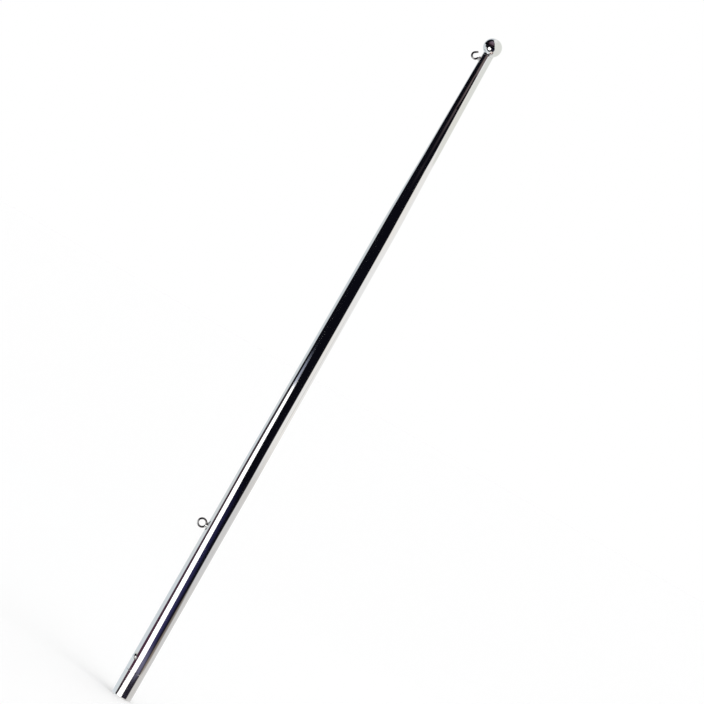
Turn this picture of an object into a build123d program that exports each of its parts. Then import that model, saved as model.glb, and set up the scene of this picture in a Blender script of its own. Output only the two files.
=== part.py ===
from build123d import *
from math import cos, radians, sin
import os

# Flagstaff for a boat: a tapered, polished stainless steel tube that stands with its heel in a socket.
# Millimetres. Z runs up the staff, the origin is the middle of the heel's flat underside.
# The hook and the ring that hold the flag's halyard stand out on the -X side.

# Lengths along the staff
EXPOSED_LENGTH = 1066.8        # top of the ball down to the middle of the locking stud
STUD_HEIGHT = 63.5             # middle of the locking stud above the heel's underside
HEEL_LENGTH = 42.5             # solid heel below the end of the tube
RING_ABOVE_STUD = 222.25       # middle of the halyard ring above the locking stud
HOOK_BELOW_BALL = 23.75        # hook's shank below the middle of the ball

# Staff tube: a taper from the neck to the waist, a short swage to the shoulder, a long slow taper to
# the full diameter, and plain tube from there to the heel, with a rounded knee at each change
BUTT_DIAMETER = 31.75          # plain lower length and heel
SHOULDER_DIAMETER = 27.8
WAIST_DIAMETER = 22.6
NECK_DIAMETER = 16.7           # under the ball
FULL_DROP = 745.0              # below the ball's middle, the staff reaches its full diameter
SHOULDER_DROP = 300.0          # the same for the shoulder
WAIST_DROP = 200.0             # the same for the waist
KNEE_RADIUS = 2000.0
TUBE_WALL = 1.6
JOINT_BEVEL = 0.3              # small bevel on each side of a joint, which leaves a fine groove

# Finial
BALL_DIAMETER = 28.5
NECK_DROP = 14.6               # below the ball's middle, the joint between finial and tube
NECK_FILLET = 1.6
FINIAL_SPIGOT_LENGTH = 22.0

# Halyard hook and ring, bent from round wire
WIRE_DIAMETER = 3.0
HOOK_BEND_RADIUS = 2.3         # first bend, out of the shank, to the wire's middle
HOOK_LOOP_RADIUS = 5.0         # to the wire's middle
HOOK_BEND_ANGLE = 62.0
HOOK_TIP_ANGLE = 148.0         # way the tip points, from straight out of the staff, up towards the ball
HOOK_TIP_LENGTH = 3.9
HOOK_STAND_OFF = 1.8           # straight shank that shows above the tube
RING_RADIUS = 6.4              # to the wire's middle
RING_STAND_OFF = 0.2           # gap between the tube and the ring's wire
SHANK_REACH = 2.0              # shank that passes the tube's inner wall

# Turned collars that back the hook and the ring
HOOK_COLLAR_DIAMETER = 7.2
HOOK_COLLAR_TOP_DIAMETER = 5.2
HOOK_COLLAR_HEIGHT = 2.4
RING_COLLAR_DIAMETER = 10.4
RING_COLLAR_TOP_DIAMETER = 8.8
RING_COLLAR_HEIGHT = 2.2
COLLAR_RIM = 0.5               # straight side of a collar above the tube, under its sloping flank

# Locking stud
STUD_HEAD_DIAMETER = 9.0
STUD_PROUD = 2.4               # middle of the head's domed face above the tube
STUD_DOME_RADIUS = 9.0
STUD_SHANK_DIAMETER = 5.0
STUD_TURN = 40.0               # degrees round the staff from the hook's side to the front

# Heel
HEEL_EDGE_BEVEL = 1.5
HEEL_SPIGOT_LENGTH = 30.0
SPIGOT_LEAD = 1.0              # bevel on the end of a spigot

# Clearances
SPIGOT_CLEARANCE = 0.1         # between a spigot and the tube's inner wall, on the radius
DRILL_CLEARANCE = 0.1          # between a shank and its hole in the tube, on the radius

# Heights worked out from the above
TUBE_BOTTOM = HEEL_LENGTH
BALL_HEIGHT = STUD_HEIGHT + EXPOSED_LENGTH - BALL_DIAMETER / 2
TUBE_TOP = BALL_HEIGHT - NECK_DROP
HOOK_HEIGHT = BALL_HEIGHT - HOOK_BELOW_BALL
RING_HEIGHT = STUD_HEIGHT + RING_ABOVE_STUD


def staff_stations():
    """Drop below the ball's middle and radius where the staff's taper changes, from the top down."""
    return (
        (NECK_DROP, NECK_DIAMETER / 2),
        (WAIST_DROP, WAIST_DIAMETER / 2),
        (SHOULDER_DROP, SHOULDER_DIAMETER / 2),
        (FULL_DROP, BUTT_DIAMETER / 2),
    )


def staff_radius(height):
    """Outside radius of the staff at a height above the heel's underside, away from the knees."""
    drop = BALL_HEIGHT - height
    stations = staff_stations()
    for (upper_drop, upper_radius), (lower_drop, lower_radius) in zip(stations, stations[1:]):
        if drop <= lower_drop:
            share = (drop - upper_drop) / (lower_drop - upper_drop)
            return upper_radius + (lower_radius - upper_radius) * share
    return BUTT_DIAMETER / 2


def staff_corners(inset, top, bottom):
    """Corners of the staff's half outline between two heights, from the top down, moved in by an inset."""
    changes = [(radius - inset, BALL_HEIGHT - drop) for drop, radius in staff_stations()[1:]]
    return [(staff_radius(top) - inset, top), *changes, (BUTT_DIAMETER / 2 - inset, bottom)]


def revolved(curves):
    """Solid of revolution about Z from a closed outline drawn as radius and height."""
    face = Plane.XZ * make_face(Curve() + curves)
    return revolve(face, axis=Axis.Z)


def staff_body():
    """The staff's outside as one solid, which the fittings are seated on."""
    side = staff_corners(0.0, TUBE_TOP, TUBE_BOTTOM)
    ends = Polyline(side[-1], (0, TUBE_BOTTOM), (0, TUBE_TOP), side[0])
    return revolved([FilletPolyline(*side, radius=KNEE_RADIUS), ends])


def out_from_staff(turn, height):
    """Plane whose Z points straight out of the staff, turned from the -X side to the front."""
    way = (-cos(radians(turn)), -sin(radians(turn)), 0)
    return Plane(origin=(0, 0, height), x_dir=(0, 0, 1), z_dir=way)


def shank_start(height):
    """Distance of a shank's inner end from the staff's middle."""
    return staff_radius(height) - TUBE_WALL - SHANK_REACH


def shank(turn, height, radius, reach_out):
    """Round shank from its inner end out to a distance from the staff's middle."""
    start = shank_start(height)
    cylinder = Cylinder(radius, reach_out - start, align=(Align.CENTER, Align.CENTER, Align.MIN))
    return out_from_staff(turn, height) * Pos(0, 0, start) * cylinder


def drill(turn, height, radius):
    """Hole for a shank, wider and deeper than the shank by the drill clearance."""
    start = shank_start(height) - DRILL_CLEARANCE
    length = staff_radius(height) + TUBE_WALL - start
    cylinder = Cylinder(radius + DRILL_CLEARANCE, length, align=(Align.CENTER, Align.CENTER, Align.MIN))
    return out_from_staff(turn, height) * Pos(0, 0, start) * cylinder


def hook_path():
    """Line of the hook's wire in its own plane: x is out from the staff's middle, y is up."""
    stand = staff_radius(HOOK_HEIGHT) + HOOK_STAND_OFF
    stem = Line((shank_start(HOOK_HEIGHT), 0), (stand, 0))
    bend = JernArc(stem @ 1, stem % 1, HOOK_BEND_RADIUS, -HOOK_BEND_ANGLE)
    loop = JernArc(bend @ 1, bend % 1, HOOK_LOOP_RADIUS, HOOK_BEND_ANGLE + HOOK_TIP_ANGLE)
    tip = Line(loop @ 1, loop @ 1 + (loop % 1) * HOOK_TIP_LENGTH)
    return Curve() + [stem, bend, loop, tip]


def halyard_hook():
    """Question-mark hook of round wire, open towards the ball, with a rounded tip."""
    path = hook_path().wire()
    section = Plane(origin=path @ 0, z_dir=path % 0) * Circle(WIRE_DIAMETER / 2)
    wire = sweep(section, path=path)
    rounded_tip = Pos(path @ 1) * Sphere(WIRE_DIAMETER / 2)
    side = Plane(origin=(0, 0, HOOK_HEIGHT), x_dir=(-1, 0, 0), z_dir=(0, 1, 0))
    return side * (wire + rounded_tip)


def ring_middle():
    """Distance of the ring's middle from the staff's middle."""
    return staff_radius(RING_HEIGHT) + RING_STAND_OFF + WIRE_DIAMETER / 2 + RING_RADIUS


def wire_ring():
    """The closed ring alone, standing edge on to the staff."""
    ring = Torus(RING_RADIUS, WIRE_DIAMETER / 2)
    return Pos(-ring_middle(), 0, RING_HEIGHT) * Rot(90, 0, 0) * ring


def halyard_ring():
    """Closed ring with a shank that passes through the tube's wall."""
    lower_wire = ring_middle() - RING_RADIUS
    return wire_ring() + shank(0, RING_HEIGHT, WIRE_DIAMETER / 2, lower_wire)


def collar(height, base_diameter, top_diameter, rise):
    """Turned collar with a straight rim and a sloping flank, seated on the staff's round side."""
    seat = staff_radius(height)
    base = base_diameter / 2
    rim = (base, seat + COLLAR_RIM)
    crown = (top_diameter / 2, seat + rise)
    outline = Polyline(rim, crown, (0, seat + rise), (0, seat - base), (base, seat - base), rim)
    return out_from_staff(0, height) * revolved([outline]) - staff_body()


def hook_collar():
    """Collar round the hook's shank."""
    blank = collar(HOOK_HEIGHT, HOOK_COLLAR_DIAMETER, HOOK_COLLAR_TOP_DIAMETER, HOOK_COLLAR_HEIGHT)
    return blank - halyard_hook()


def ring_collar():
    """Collar round the ring's shank, grooved for the ring's wire."""
    blank = collar(RING_HEIGHT, RING_COLLAR_DIAMETER, RING_COLLAR_TOP_DIAMETER, RING_COLLAR_HEIGHT)
    return blank - halyard_ring()


def locking_stud():
    """Round headed stud that drops into the socket's notch and keeps the staff from turning."""
    seat = staff_radius(STUD_HEIGHT)
    head_radius = STUD_HEAD_DIAMETER / 2
    head = Cylinder(head_radius, seat + STUD_PROUD, align=(Align.CENTER, Align.CENTER, Align.MIN))
    head &= Pos(0, 0, seat + STUD_PROUD - STUD_DOME_RADIUS) * Sphere(STUD_DOME_RADIUS)
    head = out_from_staff(STUD_TURN, STUD_HEIGHT) * head - staff_body()
    return head + shank(STUD_TURN, STUD_HEIGHT, STUD_SHANK_DIAMETER / 2, seat + STUD_PROUD / 2)


def finial_ball():
    """Ball with a short filleted neck and a spigot, turned in one piece, pinned by the hook's shank."""
    ball_radius = BALL_DIAMETER / 2
    neck_radius = NECK_DIAMETER / 2
    spigot_radius = neck_radius - TUBE_WALL - SPIGOT_CLEARANCE
    spigot_end = TUBE_TOP - FINIAL_SPIGOT_LENGTH
    middle = Vector(0, BALL_HEIGHT)
    fillet_side = neck_radius + NECK_FILLET
    fillet_drop = ((ball_radius + NECK_FILLET) ** 2 - fillet_side**2) ** 0.5
    fillet_middle = middle + Vector(fillet_side, -fillet_drop)
    on_ball = middle + (fillet_middle - middle).normalized() * ball_radius
    on_neck = fillet_middle - Vector(NECK_FILLET, 0)
    top = middle + Vector(0, ball_radius)
    side = middle + Vector(ball_radius, 0)
    ball_arc = ThreePointArc(top, side, on_ball)
    outline = [
        ball_arc,
        TangentArc(on_ball, on_neck, tangent=ball_arc % 1),
        Polyline(
            on_neck,
            (neck_radius, TUBE_TOP + JOINT_BEVEL),
            (neck_radius - JOINT_BEVEL, TUBE_TOP),
            (spigot_radius, TUBE_TOP),
            (spigot_radius, spigot_end + SPIGOT_LEAD),
            (spigot_radius - SPIGOT_LEAD, spigot_end),
            (0, spigot_end),
            top,
        ),
    ]
    return revolved(outline) - drill(0, HOOK_HEIGHT, WIRE_DIAMETER / 2)


def staff_tube():
    """Tapered tube, bevelled at both ends and drilled for the hook, the ring and the stud."""
    outer = staff_corners(0.0, TUBE_TOP - JOINT_BEVEL, TUBE_BOTTOM + JOINT_BEVEL)
    inner = staff_corners(TUBE_WALL, TUBE_TOP, TUBE_BOTTOM)
    rest = Polyline(
        outer[-1],
        (BUTT_DIAMETER / 2 - JOINT_BEVEL, TUBE_BOTTOM),
        *reversed(inner),
        (NECK_DIAMETER / 2 - JOINT_BEVEL, TUBE_TOP),
        outer[0],
    )
    tube = revolved([FilletPolyline(*outer, radius=KNEE_RADIUS), rest])
    tube -= drill(0, HOOK_HEIGHT, WIRE_DIAMETER / 2)
    tube -= drill(0, RING_HEIGHT, WIRE_DIAMETER / 2)
    return tube - drill(STUD_TURN, STUD_HEIGHT, STUD_SHANK_DIAMETER / 2)


def heel_plug():
    """Solid heel of the staff's own diameter, with a spigot up into the tube, pinned by the stud."""
    heel = Cylinder(BUTT_DIAMETER / 2, HEEL_LENGTH, align=(Align.CENTER, Align.CENTER, Align.MIN))
    heel = chamfer(heel.edges().filter_by(GeomType.CIRCLE).sort_by(Axis.Z)[0], HEEL_EDGE_BEVEL)
    heel = chamfer(heel.edges().filter_by(GeomType.CIRCLE).sort_by(Axis.Z)[-1], JOINT_BEVEL)
    spigot = Cylinder(
        BUTT_DIAMETER / 2 - TUBE_WALL - SPIGOT_CLEARANCE,
        HEEL_SPIGOT_LENGTH,
        align=(Align.CENTER, Align.CENTER, Align.MIN),
    )
    spigot = chamfer(spigot.edges().sort_by(Axis.Z)[-1], SPIGOT_LEAD)
    plug = heel + Pos(0, 0, HEEL_LENGTH) * spigot
    return plug - drill(STUD_TURN, STUD_HEIGHT, STUD_SHANK_DIAMETER / 2)


PIECES = {
    "finial_ball": finial_ball,
    "staff_tube": staff_tube,
    "halyard_hook": halyard_hook,
    "hook_collar": hook_collar,
    "halyard_ring": halyard_ring,
    "ring_collar": ring_collar,
    "locking_stud": locking_stud,
    "heel_plug": heel_plug,
}

os.makedirs("parts", exist_ok=True)
for name, make in PIECES.items():
    export_step(make(), f"parts/{name}.step")
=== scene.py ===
# %% [markdown]
# # Boat flagstaff
# A flagstaff for a boat is a tapered tube of stainless steel, drawn down towards its ball and polished
# until it mirrors the room. A hook under the ball and a ring low down hold the flag's halyard, and the
# heel stands in a socket on deck.
# A mirror has almost no colour of its own, so this lesson is in two halves: the room that the steel
# shows, and surfaces that are smooth and exact enough to show it well.

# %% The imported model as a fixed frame
import math

import bpy
import numpy as np
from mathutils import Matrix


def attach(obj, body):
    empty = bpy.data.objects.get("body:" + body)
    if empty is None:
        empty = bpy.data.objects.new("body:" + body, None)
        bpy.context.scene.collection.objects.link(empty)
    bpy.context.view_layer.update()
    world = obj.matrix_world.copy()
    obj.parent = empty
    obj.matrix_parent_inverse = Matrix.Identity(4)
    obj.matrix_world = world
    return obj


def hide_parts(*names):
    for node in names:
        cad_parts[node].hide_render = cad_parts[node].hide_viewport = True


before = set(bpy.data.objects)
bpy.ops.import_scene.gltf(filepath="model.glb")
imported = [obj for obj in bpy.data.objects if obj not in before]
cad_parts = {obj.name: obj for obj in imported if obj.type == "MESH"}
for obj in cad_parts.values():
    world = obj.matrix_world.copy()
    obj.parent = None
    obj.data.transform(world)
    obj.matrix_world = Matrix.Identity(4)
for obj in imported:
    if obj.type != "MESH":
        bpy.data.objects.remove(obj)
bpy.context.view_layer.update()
print("nodes:", ", ".join(sorted(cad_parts)))

# %% [markdown]
# ## Camera
# The picture looks straight at the staff's side, with hook and ring to the left, and the staff leans to
# the right because the camera is rolled about its own line of sight. The staff could be leaned instead,
# but a part keeps its frame and the camera is free to turn.
# A long lens from a few metres away keeps the sides nearly parallel, as in a catalogue picture.

# %% Camera
PICTURE_WIDTH = 1.051          # metres across the picture, at the staff
CAMERA_DISTANCE = 4.5
CAMERA_TARGET = (0.0436, 0.0, 0.6178)
CAMERA_ROLL = 29.8             # degrees

camera_data = bpy.data.cameras.new("camera")
camera_data.sensor_width = 36.0
camera_data.lens = camera_data.sensor_width * CAMERA_DISTANCE / PICTURE_WIDTH
camera_data.clip_start = 0.1
camera_data.clip_end = 200.0
camera = bpy.data.objects.new("camera", camera_data)
bpy.context.scene.collection.objects.link(camera)
camera.location = (CAMERA_TARGET[0], -CAMERA_DISTANCE, CAMERA_TARGET[2])
camera.rotation_euler = (math.radians(90), -math.radians(CAMERA_ROLL), 0)
bpy.context.scene.camera = camera
bpy.context.scene.view_settings.view_transform = "Standard"
print("lens, mm:", round(camera_data.lens, 1))

# %% [markdown]
# ## Surfaces from arrays
# Every shape here is a grid of points: one direction runs round the piece and the other along it. The
# points come from a formula for the whole array at once, and one helper turns any such grid into a mesh.
# Blender's own primitives and modifiers could make some of these shapes, but a formula keeps each size
# exact, gives as many rings as a mirror needs, and closes every seam and pole in the same way.

# %% Grid to mesh
def signed_volume(points, triangles):
    """A sixth of the sum of a . (b x c) over the triangles, which is positive if they face outwards."""
    a, b, c = (points[triangles[:, k]] for k in range(3))
    return np.einsum("ij,ij->i", a, np.cross(b, c)).sum() / 6


def mesh_piece(name, grid, ends="caps", sharp=32.0):
    """Closed mesh from a grid of rings. grid[i, j] is point j of ring i, and each ring closes on itself.

    ends is "caps" for a middle point on the first and the last ring, or "loop" if the last ring joins
    the first. Edges that turn by more than sharp degrees stay crisp. The mesh gets a map named UVMap,
    with u once round and v along the length of the first column, in metres.
    """
    rings, around = grid.shape[:2]
    points = grid.reshape(-1, 3)
    bands = rings if ends == "loop" else rings - 1
    i, j = (index.ravel() for index in np.meshgrid(np.arange(bands), np.arange(around), indexing="ij"))
    up, on = (i + 1) % rings, (j + 1) % around
    quads = np.stack([i * around + j, i * around + on, up * around + on, up * around + j], axis=1)
    step = np.linalg.norm(np.diff(grid[:, 0], axis=0, append=grid[:1, 0]), axis=1)
    along = np.concatenate([[0.0], np.cumsum(step)])
    quad_uv = np.stack(
        [
            np.stack([j, j + 1, j + 1, j], axis=1) / around,
            np.stack([along[i], along[i], along[i + 1], along[i + 1]], axis=1),
        ],
        axis=2,
    )
    triangles = np.empty((0, 3), int)
    triangle_uv = np.empty((0, 3, 2))
    if ends == "caps":
        # A fan of triangles round a middle point closes each end.
        column = np.arange(around)
        turn = (column + 1) % around
        middles = np.array([grid[0].mean(axis=0), grid[-1].mean(axis=0)])
        first, last = len(points), len(points) + 1
        points = np.vstack([points, middles])
        base = (rings - 1) * around
        triangles = np.vstack(
            [
                np.stack([np.full(around, first), turn, column], axis=1),
                np.stack([np.full(around, last), base + column, base + turn], axis=1),
            ]
        )
        centre_u, centre_v = (column + 0.5) / around, np.array([[0.0], [along[rings - 1]]])
        v = np.repeat(centre_v, around, axis=1).ravel()
        left, right = np.tile(column / around, 2), np.tile((column + 1) / around, 2)
        swap = np.arange(2 * around) < around
        second, third = np.where(swap, right, left), np.where(swap, left, right)
        u = np.stack([np.tile(centre_u, 2), second, third], axis=1)
        triangle_uv = np.stack([u, np.stack([v] * 3, axis=1)], axis=2)
    # If the faces look inwards, the corners of each one are taken the other way round.
    split = np.vstack([quads[:, [0, 1, 2]], quads[:, [0, 2, 3]], triangles])
    if signed_volume(points, split) < 0:
        quads, quad_uv = quads[:, ::-1], quad_uv[:, ::-1]
        triangles, triangle_uv = triangles[:, ::-1], triangle_uv[:, ::-1]
    corners = np.concatenate([quads.ravel(), triangles.ravel()])
    sizes = np.concatenate([np.full(len(quads), 4), np.full(len(triangles), 3)])
    uv = np.concatenate([quad_uv.reshape(-1, 2), triangle_uv.reshape(-1, 2)])
    mesh = bpy.data.meshes.new(name)
    mesh.vertices.add(len(points))
    mesh.vertices.foreach_set("co", points.astype(np.float32).ravel())
    mesh.loops.add(len(corners))
    mesh.loops.foreach_set("vertex_index", corners.astype(np.int32))
    mesh.polygons.add(len(sizes))
    mesh.polygons.foreach_set("loop_start", np.concatenate([[0], np.cumsum(sizes)[:-1]]).astype(np.int32))
    mesh.update(calc_edges=True)
    mesh.uv_layers.new(name="UVMap").uv.foreach_set("vector", uv.astype(np.float32).ravel())
    mesh.polygons.foreach_set("use_smooth", np.ones(len(sizes), bool))
    mesh.set_sharp_from_angle(angle=math.radians(sharp))
    mesh.validate()
    piece = bpy.data.objects.new(name, mesh)
    bpy.context.scene.collection.objects.link(piece)
    return piece


def mesh_points(piece):
    """The vertices of a piece as an array of (x, y, z), in metres."""
    points = np.empty(len(piece.data.vertices) * 3, np.float32)
    piece.data.vertices.foreach_get("co", points)
    return points.reshape(-1, 3)


def tell(piece):
    """Prints what a finished piece measures."""
    points = mesh_points(piece)
    size = (points.max(axis=0) - points.min(axis=0)) * 1000
    triangles = sum(len(p.vertices) - 2 for p in piece.data.polygons)
    print(f"{piece.name}: {triangles} triangles, {size.round(2)} mm")


unit_corner = np.array([[0, 0, 0], [1, 0, 0], [0, 1, 0], [0, 0, 1]], float)
corner_sides = np.array([[0, 2, 1], [0, 1, 3], [0, 3, 2], [1, 2, 3]])
print("volume of a corner cut from a unit cube:", signed_volume(unit_corner, corner_sides).round(4))

# %% [markdown]
# ## Outlines with rounded corners
# Polished steel has no truly sharp edge: the buffing wheel rounds each one by a few hundredths of a
# millimetre, and that thin round is what catches the light. A corner is rounded here by an arc that is
# tangent to both of its sides. A Bevel modifier would do the same on the mesh, but then the arc's rings
# couldn't be placed, and a mirror shows every ring that is in the wrong place.

# %% Rounded outline
def rounded(corners, radii, steps=6, hold=0.35):
    """Polyline whose inner corners are replaced by arcs.

    An arc of radius r on a corner that turns by t starts r * tan(t / 2) before the corner and ends as
    far after it. Its points turn about the arc's middle in equal steps. One more point stands hold
    times that distance outside each end of the arc, so that the shading of the flat sides stays flat.
    """
    corners = np.asarray(corners, float)
    pieces = [corners[:1]]
    for before, corner, after, radius in zip(corners, corners[1:], corners[2:], radii):
        into = (corner - before) / np.linalg.norm(corner - before)
        out = (after - corner) / np.linalg.norm(after - corner)
        turn = math.atan2(into[0] * out[1] - into[1] * out[0], into @ out)
        if radius == 0 or abs(turn) < 1e-9:
            pieces.append(corner[None])
            continue
        reach = radius * math.tan(abs(turn) / 2)
        start = corner - into * reach
        middle = start + radius * math.copysign(1, turn) * np.array([-into[1], into[0]])
        angle = np.linspace(0, turn, steps + 1)
        arm = start - middle
        cos, sin = np.cos(angle), np.sin(angle)
        arc = middle + np.stack([cos * arm[0] - sin * arm[1], sin * arm[0] + cos * arm[1]], axis=1)
        pieces += [start[None] - into * reach * hold, arc, corner[None] + out * reach * (1 + hold)]
    return np.vstack(pieces + [corners[-1:]])


def ring_angles(around):
    """Angles of the points of one ring."""
    return np.linspace(0, 2 * math.pi, around, endpoint=False)


def revolved(outline, around):
    """Grid of an outline of (radius, height) turned about Z: x = r cos a, y = r sin a, z = height."""
    angle = ring_angles(around)
    radius = outline[:, :1]
    height = np.broadcast_to(outline[:, 1:], (len(outline), around))
    return np.stack([radius * np.cos(angle), radius * np.sin(angle), height], axis=2)


def divided(outline, longest):
    """The same line with points added, evenly on each stretch that is longer than the longest step."""
    lengths = np.linalg.norm(np.diff(outline, axis=0), axis=1)
    parts = np.maximum(1, np.ceil(lengths / longest)).astype(int)
    index = np.repeat(np.arange(len(parts)), parts)
    share = np.concatenate([np.arange(n) / n for n in parts])
    between = outline[index] + (outline[index + 1] - outline[index]) * share[:, None]
    return np.vstack([between, outline[-1:]])


square_corner = [(0, 0), (1, 0), (1, 1)]
print("a corner rounded to 0.2:", rounded(square_corner, [0.2], steps=2).round(2).tolist())

# %% [markdown]
# ## Finishes as node groups
# The whole staff is one alloy, but its pieces were finished in different ways, so a few effects are
# shared and each material sets its own amounts. A node group is made once, gets named inputs and puts
# out only masks, colours and heights. The shader itself stays in the material.

# %% Node helpers
MIX_FIRST, MIX_SECOND, MIX_RESULT = 6, 7, 2     # colour sockets of a Mix node


def new_group(name, inputs, outputs):
    """Empty shader group with the given sockets, and its input and output nodes."""
    group = bpy.data.node_groups.new(name, "ShaderNodeTree")
    for label, kind, value in inputs:
        socket = group.interface.new_socket(label, in_out="INPUT", socket_type=kind)
        if value is not None:
            socket.default_value = value
    for label, kind in outputs:
        group.interface.new_socket(label, in_out="OUTPUT", socket_type=kind)
    return group, group.nodes.new("NodeGroupInput"), group.nodes.new("NodeGroupOutput")


def noise(tree, vector, scale, detail=3.0, rough=0.55, distortion=0.0):
    """Noise texture node on a vector."""
    made = tree.nodes.new("ShaderNodeTexNoise")
    made.inputs["Scale"].default_value = scale
    made.inputs["Detail"].default_value = detail
    made.inputs["Roughness"].default_value = rough
    made.inputs["Distortion"].default_value = distortion
    tree.links.new(vector, made.inputs["Vector"])
    return made.outputs["Fac"]


def stretched(tree, vector, scale):
    """The vector with each axis multiplied by its own number."""
    made = tree.nodes.new("ShaderNodeMapping")
    made.inputs["Scale"].default_value = scale
    tree.links.new(vector, made.inputs["Vector"])
    return made.outputs["Vector"]


def ramp(tree, value, low, high, bottom=0.0, top=1.0):
    """Value from low..high brought to bottom..top and held there outside, in an S curve."""
    made = tree.nodes.new("ShaderNodeMapRange")
    made.interpolation_type = "SMOOTHSTEP"
    for label, number in (("From Min", low), ("From Max", high), ("To Min", bottom), ("To Max", top)):
        made.inputs[label].default_value = number
    tree.links.new(value, made.inputs["Value"])
    return made.outputs["Result"]


def maths(tree, operation, first, second):
    """One Math node. Each side is a socket or a plain number."""
    made = tree.nodes.new("ShaderNodeMath")
    made.operation = operation
    for socket, value in zip(made.inputs, (first, second)):
        if isinstance(value, (int, float)):
            socket.default_value = value
        else:
            tree.links.new(value, socket)
    return made.outputs["Value"]


def mixed(tree, share, first, second):
    """Colour between two others. Each is a socket or a colour."""
    made = tree.nodes.new("ShaderNodeMix")
    made.data_type = "RGBA"
    tree.links.new(share, made.inputs["Factor"])
    for socket, value in ((made.inputs[MIX_FIRST], first), (made.inputs[MIX_SECOND], second)):
        if isinstance(value, tuple):
            socket.default_value = (*value, 1.0)
        else:
            tree.links.new(value, socket)
    return made.outputs[MIX_RESULT]


print("colour sockets of a Mix node:", MIX_FIRST, MIX_SECOND, MIX_RESULT)

# %% [markdown]
# The buffing wheel leaves hairlines, a few of them deeper than the rest, and they lie the way the wheel
# ran. Noise that is squeezed a hundred times more along one axis than along the others draws them. An
# image of scratches would repeat, and it would have to be fitted to each piece.

# %% Polishing lines
MIRROR_STRETCH = (60.0, 60.0, 4000.0)           # how dense the lines are along X, Y and Z, per metre
LINE_PATCHES = 35.0                             # patches of deeper lines, per metre

polish_group, into, out = new_group(
    "polishing_lines",
    [("Vector", "NodeSocketVector", None), ("Stretch", "NodeSocketVector", MIRROR_STRETCH)],
    [("Mask", "NodeSocketFloat"), ("Height", "NodeSocketFloat")],
)
squeezed = polish_group.nodes.new("ShaderNodeVectorMath")
squeezed.operation = "MULTIPLY"
polish_group.links.new(into.outputs["Vector"], squeezed.inputs[0])
polish_group.links.new(into.outputs["Stretch"], squeezed.inputs[1])
hairlines = noise(polish_group, squeezed.outputs["Vector"], 1.0, detail=5.0, rough=0.7)
where = noise(polish_group, into.outputs["Vector"], LINE_PATCHES, detail=2.0)
strong = ramp(polish_group, where, 0.42, 0.68)
lines = maths(polish_group, "MULTIPLY", ramp(polish_group, hairlines, 0.5, 0.8), strong)
polish_group.links.new(lines, out.inputs["Mask"])
polish_group.links.new(hairlines, out.inputs["Height"])
print("group:", polish_group.name)

# %% [markdown]
# Hands leave a thin film on a mirror: cloudy, a few centimetres long, drawn out where a cloth has wiped
# along the staff, and with small clear gaps. It changes how sharp the mirror is far more than its colour,
# so the mask goes to the roughness first.

# %% Wiped film
CLOUD_SCALE = (55.0, 55.0, 14.0)                # per metre, so clouds are some centimetres long
WIPE_SCALE = (420.0, 420.0, 22.0)
SPECK_SCALE = 900.0

film_group, into, out = new_group(
    "wiped_film",
    [("Vector", "NodeSocketVector", None), ("Size", "NodeSocketFloat", 1.0)],
    [("Mask", "NodeSocketFloat")],
)
scaled = film_group.nodes.new("ShaderNodeVectorMath")
scaled.operation = "SCALE"
film_group.links.new(into.outputs["Vector"], scaled.inputs[0])
film_group.links.new(into.outputs["Size"], scaled.inputs["Scale"])
cloud_place = stretched(film_group, scaled.outputs["Vector"], CLOUD_SCALE)
wipe_place = stretched(film_group, scaled.outputs["Vector"], WIPE_SCALE)
clouds = noise(film_group, cloud_place, 1.0, detail=4.0, rough=0.6, distortion=0.4)
wipes = noise(film_group, wipe_place, 1.0, detail=3.0, rough=0.6)
specks = noise(film_group, scaled.outputs["Vector"], SPECK_SCALE, detail=2.0)
film = ramp(film_group, clouds, 0.45, 0.72)
film = maths(film_group, "MULTIPLY", film, ramp(film_group, wipes, 0.3, 0.7, 0.35))
film = maths(film_group, "MULTIPLY", film, ramp(film_group, specks, 0.3, 0.5, 0.6))
film_group.links.new(film, out.inputs["Mask"])
print("group:", film_group.name)

# %% [markdown]
# Where a fitting is brazed on, the wheel can't reach right into the corner. A trace of polishing
# compound stays there, and the steel beside it keeps a straw coloured breath of the heat. The piece says
# how near each point is to such a corner, in a value named seat, and this group breaks that value up so
# that it doesn't look ruled.

# %% Corners that the wheel misses
CORNER_GRAIN = 1400.0                           # per metre, under a millimetre a grain

corner_group, into, out = new_group(
    "missed_corners",
    [("Vector", "NodeSocketVector", None), ("Seat", "NodeSocketFloat", 0.0)],
    [("Residue", "NodeSocketFloat"), ("Heat", "NodeSocketFloat")],
)
broken = noise(corner_group, into.outputs["Vector"], CORNER_GRAIN, detail=3.0, rough=0.6)
broken = ramp(corner_group, broken, 0.25, 0.75, 0.55, 1.25)
uneven = maths(corner_group, "MULTIPLY", into.outputs["Seat"], broken)
corner_group.links.new(ramp(corner_group, uneven, 0.55, 0.98), out.inputs["Residue"])
corner_group.links.new(ramp(corner_group, uneven, 0.12, 0.6), out.inputs["Heat"])
print("group:", corner_group.name)

# %% [markdown]
# Steel isn't evenly bright. The draw and the alloy leave long, faint, warmer and cooler stretches, no
# more than a few hundredths apart, which keep a large plain surface from looking like paint.

# %% Tone of the steel
DRAW_SCALE = (40.0, 40.0, 6.0)
PATCH_SCALE = 160.0

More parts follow.
